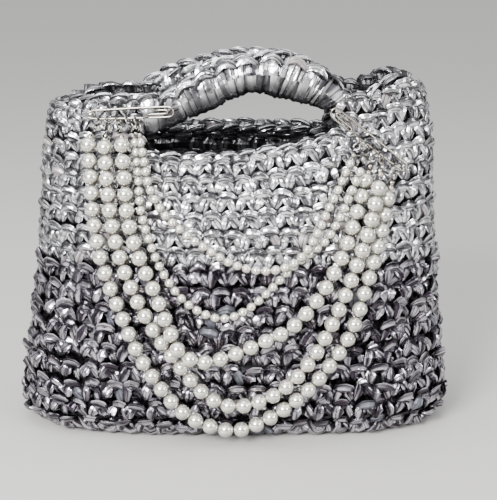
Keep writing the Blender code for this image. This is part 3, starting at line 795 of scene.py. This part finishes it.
def edge_runs():
    """The top edge as runs of points: two shoulders and two rims, in the middle of the wall."""
    start = next(step for step in range(EDGE_SAMPLES) if not at_hole(step / EDGE_SAMPLES))
    runs = [[]]
    last = False
    for step in range(start, start + EDGE_SAMPLES + 1):
        share = step / EDGE_SAMPLES
        if at_hole(share) != last:
            runs.append([])
            last = not last
        height = edge_height(share)
        place = wall_point(share, height, WALL / 2)
        place.z = height - EDGE_ROOM - CHAIN_SINK
        runs[-1].append(place)
    return runs


def along_run(at, lengths, points):
    """The place at a length along a run of points."""
    return Vector([np.interp(at, lengths, points[:, axis]) for axis in range(3)])


def chain_places(run, size, tilt=0.0):
    """Even places along a run of points, with the chain's axes at each; tilt turns its face forwards."""
    lengths = [0.0]
    for first, second in zip(run, run[1:]):
        lengths.append(lengths[-1] + (second - first).length)
    count = max(round(lengths[-1] / CHAIN_PITCH), 1)
    points = np.array([list(place) for place in run])
    facing = Vector((0, -math.sin(tilt), math.cos(tilt)))
    places = []
    for index in range(count):
        at = lengths[-1] * (index + 0.5) / count
        ahead = along_run(at + CHAIN_PITCH / 4, lengths, points)
        behind = along_run(at - CHAIN_PITCH / 4, lengths, points)
        right = (ahead - behind).normalized()
        inward = (right * facing.dot(right) - facing).normalized()
        places.append((along_run(at, lengths, points), right, inward, right.cross(inward), size))
    return places


edge_places = []
for run in edge_runs():
    if len(run) < SHORTEST_RUN:
        continue
    middle = run[len(run) // 2]
    if over_hole(middle.x) and middle.y > 0:
        edge_places += chain_places(run[::-1], BACK_RIM_SIZE, BACK_RIM_TILT)
    else:
        edge_places += chain_places(run, EDGE_CHAIN_SIZE)
settle(crochet_piece("top_edge_chain", edge_places, chain_loops, silver, 8), "upper_body")


# Handles
# Each is a bar of several strands with stitches worked round it: broad smooth bands over the front,
# drawn together under the bar, and a chain along the top.
# Rows of BARS: share along the hole, front top, front under, back top, back under, thickness
BARS = np.array(
    (
        (0.00, 0.986, 0.868, 0.992, 0.905, 0.46),
        (0.14, 0.998, 0.898, 1.032, 0.930, 0.58),
        (0.25, 1.032, 0.925, 1.050, 0.948, 0.80),
        (0.36, 1.064, 0.950, 1.066, 0.962, 0.92),
        (0.46, 1.090, 0.978, 1.078, 0.972, 1.00),
        (0.57, 1.102, 0.993, 1.082, 0.975, 1.00),
        (0.69, 1.113, 0.980, 1.076, 0.970, 1.00),
        (0.79, 1.098, 0.968, 1.060, 0.956, 0.98),
        (0.88, 1.073, 0.955, 1.036, 0.940, 0.90),
        (0.94, 1.050, 0.945, 1.018, 0.928, 0.72),
        (1.00, 1.010, 0.932, 0.996, 0.915, 0.48),
    )
)
HANDLE_THICKNESS = 20.0 * MM
PATH_STEPS = 60
BAND_STEPS = 36
BAND_RISE = 1.8 * MM
BAND_LIFT = 0.4 * MM
BAND_LEANS = (0.2, 1.0)
BAND_LEAN = 0.02
BAND_WIDTHS = (3.2 * MM, 8.5 * MM)
BAND_HALF = 0.58
UNDER_SHADE, UNDER_START, UNDER_REACH = 0.9, 0.22, 0.68
SIDE_START, SIDE_REACH = 0.25, 0.75
BAND_FOLDS = 0.36
BAND_STRETCH = 0.04
PLEAT_SPREAD = 0.14
PLEAT_WANDER = 0.03
ARC_TURN = math.radians(52)
ARC_RISE = 12.0 * MM
BACK_HANDLE_TILT = math.radians(55)
FRONT_COLUMNS, BACK_COLUMNS, THICKNESS_COLUMN = (1, 2), (3, 4), 5
BAR_STEP = 0.02
HANDLE_CHAIN_SIZE = (1.05, 1.0, 0.9)
ARC_SIZE = (1.15, 1.15, 1.2)


def bar_section(share, columns, side):
    """Centre, half thickness and half height of a handle bar at a share of its length."""
    x = HOLE_LEFT + share * (HOLE_RIGHT - HOLE_LEFT)
    top, under = (SHOULDER_HEIGHT * read_curve(BARS, column, share) for column in columns)
    middle = side * (front_depth(x, HANDLE_LEVEL) - WALL / 2)
    thickness = HANDLE_THICKNESS / 2 * read_curve(BARS, THICKNESS_COLUMN, share)
    return Vector((x, middle, (top + under) / 2)), thickness, (top - under) / 2


def bar_lengths(columns, side):
    """How far along the middle line of a bar each of its steps is."""
    path = [bar_section(step / PATH_STEPS, columns, side)[0] for step in range(PATH_STEPS + 1)]
    steps = [(after - before).length for before, after in zip(path, path[1:])]
    return np.concatenate(([0.0], np.cumsum(steps)))


def bar_surface(share, turn, columns, side, lift):
    """A place on a bar, and the directions out of it and along it; turn runs from the front up and over."""
    here = min(max(share, 0.0), 1.0)
    centre, half_thick, half_high = bar_section(here, columns, side)
    ahead, _, _ = bar_section(min(here + BAR_STEP, 1.0), columns, side)
    behind, _, _ = bar_section(max(here - BAR_STEP, 0.0), columns, side)
    along = (ahead - behind).normalized()
    front = Vector((0, -1, 0))
    rise = front.cross(along).normalized()
    if rise.z < 0:
        rise = -rise
    spoke = front * math.cos(turn) * (half_thick + lift) + rise * math.sin(turn) * (half_high + lift)
    return centre + spoke, spoke.normalized(), along


def handle_bands(name, columns, side, seed):
    """The wrapped bar of one handle: bands of uneven width side by side, each closed round the bar."""
    chance = np.random.default_rng(seed)
    made = bmesh.new()
    strand = made.loops.layers.uv.new("strand")
    tone = made.verts.layers.float.new("tone")
    painted_shade = made.verts.layers.float.new("painted_shade")
    lengths = bar_lengths(columns, side)
    shares = np.linspace(0, 1, PATH_STEPS + 1)
    strides = [step * BAND_STRETCH for step in range(BAND_STEPS + 1)]
    at = 0.0
    while at < lengths[-1]:
        wide = chance.uniform(*BAND_WIDTHS)
        share = float(np.interp(at + wide / 2, lengths, shares))
        at += wide
        lean = chance.uniform(*BAND_LEANS) * BAND_LEAN
        lift = chance.uniform(-BAND_LIFT, BAND_LIFT) - BAND_RISE
        band_tone = chance.uniform(0, 1)
        pleats = [reach + chance.uniform(-PLEAT_SPREAD, PLEAT_SPREAD) for _, reach in FOLDED]
        rings = []
        for step in range(BAND_STEPS):
            turn = math.tau * step / BAND_STEPS
            place, outward, along = bar_surface(share + lean * math.sin(turn), turn, columns, side, lift)
            # Painted shade: each band is painted darker under the bar and towards its edges.
            under_shade = UNDER_SHADE * min((UNDER_START - math.sin(turn)) / UNDER_REACH, 1.0)
            ring = []
            for (degrees, _), pleat in zip(FOLDED, pleats):
                roll = math.radians(degrees)
                reach = pleat + chance.uniform(-PLEAT_WANDER, PLEAT_WANDER)
                spoke = along * math.cos(roll) * wide * BAND_HALF + outward * math.sin(roll) * BAND_RISE
                vert = made.verts.new(place + spoke * reach)
                vert[tone] = band_tone
                side_shade = 1.0 - (math.sin(roll) + SIDE_START) / SIDE_REACH
                vert[painted_shade] = min(max(side_shade, under_shade, 0.0), 1.0)
                ring.append(vert)
            rings.append(ring)
        girth = [part * BAND_FOLDS + rings[0][0][tone] for part in girth_shares(FOLDED)]
        skin_rings(made, strand, rings + rings[:1], strides, girth)
    mesh = folded_mesh(name, made)
    mesh.materials.append(silver)
    return add_object(name, mesh)


def handle_chain(name, columns, side, tilt, seed):
    """The plaited chain along the top of a bar."""
    turn = math.pi / 2 - tilt / 2
    steps = range(PATH_STEPS + 1)
    run = [bar_surface(step / PATH_STEPS, turn, columns, side, -BAND_RISE)[0] for step in steps]
    return crochet_piece(name, chain_places(run, HANDLE_CHAIN_SIZE, tilt), chain_loops, silver, seed)


def handle_arcs(name, columns, side, seed):
    """The tops of the stitches over the front of the bar, one arc to each."""
    lengths = bar_lengths(columns, side)
    count = round(lengths[-1] / CHAIN_PITCH)
    places = []
    for index in range(1, count - 1):
        at = lengths[-1] * (index + 0.5) / count
        share = float(np.interp(at, lengths, np.linspace(0, 1, PATH_STEPS + 1)))
        place, outward, right = bar_surface(share, ARC_TURN, columns, side, -BAND_RISE)
        up = right.cross(-outward)
        places.append((place - up * ARC_RISE, right, -outward, up, ARC_SIZE))
    return crochet_piece(name, places, face_loops[:1], silver, seed)


settle(handle_bands("front_handle_bands", FRONT_COLUMNS, -1, 21), "front_handle")
settle(handle_chain("front_handle_chain", FRONT_COLUMNS, -1, 0.0, 22), "front_handle")
settle(handle_arcs("front_handle_arcs", FRONT_COLUMNS, -1, 25), "front_handle")
settle(handle_bands("back_handle_bands", BACK_COLUMNS, 1, 23), "back_handle")
back_chain = handle_chain("back_handle_chain", BACK_COLUMNS, 1, BACK_HANDLE_TILT, 24)
settle(back_chain, "back_handle")


# Pearl strands
# Three strings of 10 mm and two of 6 mm imitation pearls, ivory with a lacquered skin, strung on thread.
LARGE_PEARL = 10.0 * MM
SMALL_PEARL = 6.0 * MM
GAP = 0.3 * MM
ROUTE_STEPS = 24
PEARL_SHADE = Vector((-0.35, 0.2, 0.9)).normalized()
SHADE_START, SHADE_REACH = 0.05, 0.9
LARGE_FACETS, SMALL_FACETS = (14, 9), (12, 8)
# Rows of each route: across the bag, up it, and the lift off the wall if any, in millimetres
ROUTES = {
    "pearl_strand_outer": (
        (-92, 187), (-90, 163), (-88, 140), (-82, 114), (-72, 88), (-61, 62), (-46, 38), (-32, 22),
        (-15, 13), (2, 11), (20, 19), (38.5, 32.5), (55, 50), (71, 74), (80, 101), (88, 128),
        (94, 155),
    ),
    "pearl_strand_middle": (
        (-81.5, 186), (-79.5, 162, 0.5), (-77, 142), (-71, 119), (-62, 97), (-50, 75), (-37, 57),
        (-22, 38), (-5, 28), (15, 31), (32, 41.5), (45, 56), (55, 72), (65, 93), (74, 116, 1),
        (81.5, 138, 4.5), (87.5, 163, 6.5),
    ),
    "pearl_strand_inner": (
        (-70.5, 188, 2.2), (-69, 166), (-66.5, 143), (-59.5, 121), (-49.5, 99), (-41.5, 80, 4),
        (-33.5, 65, 8.8), (-19, 58.5, 4), (-4, 61), (15, 69), (33, 78), (47, 92), (58, 108), (67, 126),
        (74, 146), (80, 166.5),
    ),
    "small_pearl_strand_lower": (
        (-62.5, 189), (-60.5, 170), (-59, 150), (-53, 130), (-45, 112), (-32, 95), (-16, 85.5),
        (-3, 85), (10, 92), (22, 103), (33, 114), (43, 122), (55, 131), (63.5, 144, 1), (69.5, 158, 4),
        (76, 173, 8.8),
    ),
    "small_pearl_strand_upper": (
        (-58.5, 190, 4.5), (-56, 176, 3.8), (-53, 162, 1), (-45, 148), (-32, 136), (-17, 126),
        (-2, 118, 1), (14, 115, 4.5), (29, 117, 6.6), (40, 123.5, 6.6), (49, 135, 3), (57, 150, 0.5),
        (64, 163, 0.5), (70.5, 176.5, 1),
    ),
}


def over_front(across, height, distance):
    """The place at a distance in front of the outer wall, square to it."""
    step = SLOPE_STEP
    depth = front_depth(across, height)
    slope_x = (front_depth(across + step, height) - front_depth(across - step, height)) / (2 * step)
    slope_z = (front_depth(across, height + step) - front_depth(across, height - step)) / (2 * step)
    facing = 1 / math.sqrt(1 + slope_x**2 + slope_z**2)
    return Vector((across, -(depth + distance / facing), height))


def smooth_path(points, spacing):
    """Points at even spacing on a smooth curve through the route's own points."""
    dense = []
    for index in range(len(points) - 1):
        dense += [curve_point(points, index, step / ROUTE_STEPS) for step in range(ROUTE_STEPS)]
    dense.append(points[-1])
    line = np.array([list(point) for point in dense])
    run = np.concatenate(([0.0], np.cumsum(np.linalg.norm(np.diff(line, axis=0), axis=1))))
    count = max(round(run[-1] / spacing), 1)
    return [along_run(at, run, line) for at in run[-1] * np.arange(count + 1) / count]


def pearl_lacquer():
    """An ivory skin, a little mottled, with painted shade on its lower side."""
    made, tree, surface = new_material("pearl_lacquer")
    mottle = noise(tree, add_node(tree, "ShaderNodeTexCoord").outputs["Object"], 180.0, 2.0)
    tint = mixed(tree, mottle, (0.94, 0.895, 0.78), (1.0, 0.97, 0.88))
    finish = {
        "Base Color": mixed(tree, attribute(tree, "under"), tint, (0.17, 0.15, 0.115)),
        "Roughness": 0.19,
        "Metallic": 0.72,
        "Coat Weight": 1.0,
        "Coat Roughness": 0.1,
        "Coat IOR": 2.4,
    }
    set_inputs(tree, surface, finish)
    return made


pearl = pearl_lacquer()
pearl_points = {}
for name, rows in ROUTES.items():
    large = not name.startswith("small")
    bead = LARGE_PEARL if large else SMALL_PEARL
    segments, rings = LARGE_FACETS if large else SMALL_FACETS
    route = [over_front(x * MM, z * MM, bead / 2 + GAP + sum(lift) * MM) for x, z, *lift in rows]
    points = smooth_path(route, bead)
    pearl_points[name] = points
    made = bmesh.new()
    under = made.verts.layers.float.new("under")
    for index, centre in enumerate(points):
        ahead = points[min(index + 1, len(points) - 1)]
        behind = points[max(index - 1, 0)]
        turn = (ahead - behind).to_track_quat("Z", "Y").to_matrix().to_4x4()
        lie = Matrix.Translation(centre) @ turn
        ball = bmesh.ops.create_uvsphere(
            made, u_segments=segments, v_segments=rings, radius=bead / 2, matrix=lie
        )
        for vert in ball["verts"]:
            # Painted shade: each pearl is painted darker on the side away from the light, low and to the
            # right.
            drop = (centre - vert.co).dot(PEARL_SHADE) / (bead / 2)
            vert[under] = min(max((drop + SHADE_START) / SHADE_REACH, 0.0), 1.0)
    mesh = smooth_mesh(f"{name}_pearls", made)
    mesh.materials.append(pearl)
    settle(add_object(f"{name}_pearls", mesh), name)


# Safety pins, jump rings and wire ends
# Nickel-plated wire: the pins lie against the crochet, and each strand hangs by an eye and a jump ring.
def nickel_wire():
    """Warm plated wire, with painted dark reflections where it turns away from the front."""
    made, tree, surface = new_material("nickel_plate")
    finish = {
        "Base Color": mixed(tree, attribute(tree, "away"), (0.54, 0.49, 0.415), (0.028, 0.022, 0.016)),
        "Metallic": 1.0,
        "Roughness": 0.2,
        "Coat Weight": 1.0,
        "Coat Roughness": 0.1,
    }
    set_inputs(tree, surface, finish)
    return made


nickel = nickel_wire()
RING_SWELL = 0.16 * MM
PIN_SWELL = 0.4 * MM
WIRE_LIT = 0.99
WIRE_FADE = 0.32
MERGE_REACH = 0.01 * MM
FACET_TURN, FACET_SHAPE = math.radians(40), math.radians(60)


def rounded_copy(name, node, swell, keep=None):
    """The wire of a CAD node with its facets rounded off, or only the part that keep allows."""
    made = bmesh.new()
    made.from_mesh(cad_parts[node].data)
    bmesh.ops.remove_doubles(made, verts=made.verts, dist=MERGE_REACH)
    if keep is not None:
        spent = [vert for vert in made.verts if not keep(vert.co)]
        bmesh.ops.delete(made, geom=spent, context="VERTS")
    bmesh.ops.join_triangles(
        made, faces=made.faces, angle_face_threshold=FACET_TURN, angle_shape_threshold=FACET_SHAPE
    )
    made.normal_update()
    for vert in made.verts:
        vert.co += vert.normal * swell
    mesh = smooth_mesh(name, made)
    mesh.materials.clear()
    mesh.materials.append(nickel)
    piece = add_object(name, mesh)
    rounding = piece.modifiers.new("rounding", "SUBSURF")
    rounding.levels = 1
    rounding.render_levels = 1
    plain_piece(name, piece)
    # Painted reflection: the sides of the wire, turned away from the front, are painted nearly black.
    away = piece.data.attributes.new("away", "FLOAT", "POINT")
    for index, vert in enumerate(piece.data.vertices):
        away.data[index].value = min(max((WIRE_LIT + vert.normal.y) / WIRE_FADE, 0.0), 1.0)
    return piece


END_BALL = 4.0 * MM
SMALL_BALL = 3.2 * MM
END_REACH = 22.0 * MM
BALL_POINTS = 20
BALL_EDGE, BALL_NECK = 0.3, 0.42
BEAD_CLEARANCE = 0.1 * MM
BALL_FACETS = (12, 8)


def strand_end(name, node, bead, bead_size, ball_size):
    """The wire eye over a strand's last bead, as in the CAD, with the silver ball under it made round."""
    spots = {tuple(round(value, 6) for value in vert.co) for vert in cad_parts[node].data.vertices}

    def belongs(place):
        return place.z > bead.z and bead_size / 2 + BEAD_CLEARANCE < (place - bead).length < END_REACH

    near = [place for place in map(Vector, sorted(spots)) if belongs(place)]
    tip = max(near, key=lambda place: (place - bead).length)
    axis = (tip - bead).normalized()

    def height(place):
        return (place - bead).dot(axis)

    edge = ball_size * BALL_EDGE
    wide = [place for place in near if (place - bead - axis * height(place)).length > edge]
    lowest = sorted(wide, key=height)[:BALL_POINTS]
    middle = sum(lowest, Vector()) / len(lowest)
    neck = height(middle) + ball_size * BALL_NECK
    piece = rounded_copy(name, node, RING_SWELL, lambda place: belongs(place) and height(place) > neck)
    made = bmesh.new()
    made.from_mesh(piece.data)
    segments, rings = BALL_FACETS
    lie = Matrix.Translation(middle)
    bmesh.ops.create_uvsphere(made, u_segments=segments, v_segments=rings, radius=ball_size / 2, matrix=lie)
    made.to_mesh(piece.data)
    made.free()
    piece.data.shade_smooth()
    settle(piece, node)


for node in sorted(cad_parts):
    if node.endswith("_pin") or node.startswith("jump_ring"):
        swell = PIN_SWELL if node.endswith("_pin") else RING_SWELL
        settle(rounded_copy(f"{node}_wire", node, swell), node)
small_ends = []
for name, points in pearl_points.items():
    if name.startswith("small"):
        small_ends += [points[0], points[-1]]
    else:
        strand_end(f"{name}_left_eye", name, points[0], LARGE_PEARL, END_BALL)
        strand_end(f"{name}_right_eye", name, points[-1], LARGE_PEARL, END_BALL)
for node in sorted(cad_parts):
    if node.startswith("small_strand_end"):
        low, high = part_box(node)
        bead = min(small_ends, key=lambda place: (place - (low + high) / 2).length)
        strand_end(f"{node}_eye", node, bead, SMALL_PEARL, SMALL_BALL)


# Floor and light
# A plain pale floor, a large soft light up on the left, a weaker one on the right and one from above.
FLOOR_REACH = 40.0
FLOOR_COLOUR = (0.59, 0.58, 0.56, 1)
floor_mesh = bpy.data.meshes.new("floor")
corners = [(FLOOR_REACH * x, FLOOR_REACH * y, 0) for x, y in ((-1, -1), (1, -1), (1, 1), (-1, 1))]
floor_mesh.from_pydata(corners, [], [(0, 1, 2, 3)])
paint, paint_tree, paint_surface = new_material("pale_floor")
set_inputs(paint_tree, paint_surface, {"Base Color": FLOOR_COLOUR, "Roughness": 0.7})
floor_mesh.materials.append(paint)
floor = add_object("floor", floor_mesh)


def softbox(name, place, size, power, target):
    lamp = bpy.data.lights.new(name, "AREA")
    lamp.energy = power
    lamp.size = size
    light = add_object(name, lamp)
    light.location = place
    light.rotation_euler = (Vector(target) - Vector(place)).to_track_quat("-Z", "Y").to_euler()


softbox("key", (-0.60, -1.25, 0.80), 0.6, 50, (0, 0, 0.12))
softbox("fill", (1.0, -0.80, 0.50), 0.35, 8, (0, 0, 0.12))
softbox("top", (-0.1, -0.15, 1.25), 0.8, 6, (0, 0, 0.15))
world = bpy.data.worlds.new("studio")
world.use_nodes = True
air = world.node_tree
direction = add_node(air, "ShaderNodeTexCoord")
parts = add_node(air, "ShaderNodeSeparateXYZ", {"Vector": direction.outputs["Generated"]})
heights = {"Value": parts.outputs["Z"], "From Min": 0.1, "From Max": 0.7, "To Min": 0.16, "To Max": 1.15}
rise = add_node(air, "ShaderNodeMapRange", heights, interpolation_type="SMOOTHSTEP")
glow = {"Strength": rise.outputs["Result"], "Color": (0.97, 0.98, 1.0, 1)}
set_inputs(air, air.nodes["Background"], glow)
bpy.context.scene.world = world
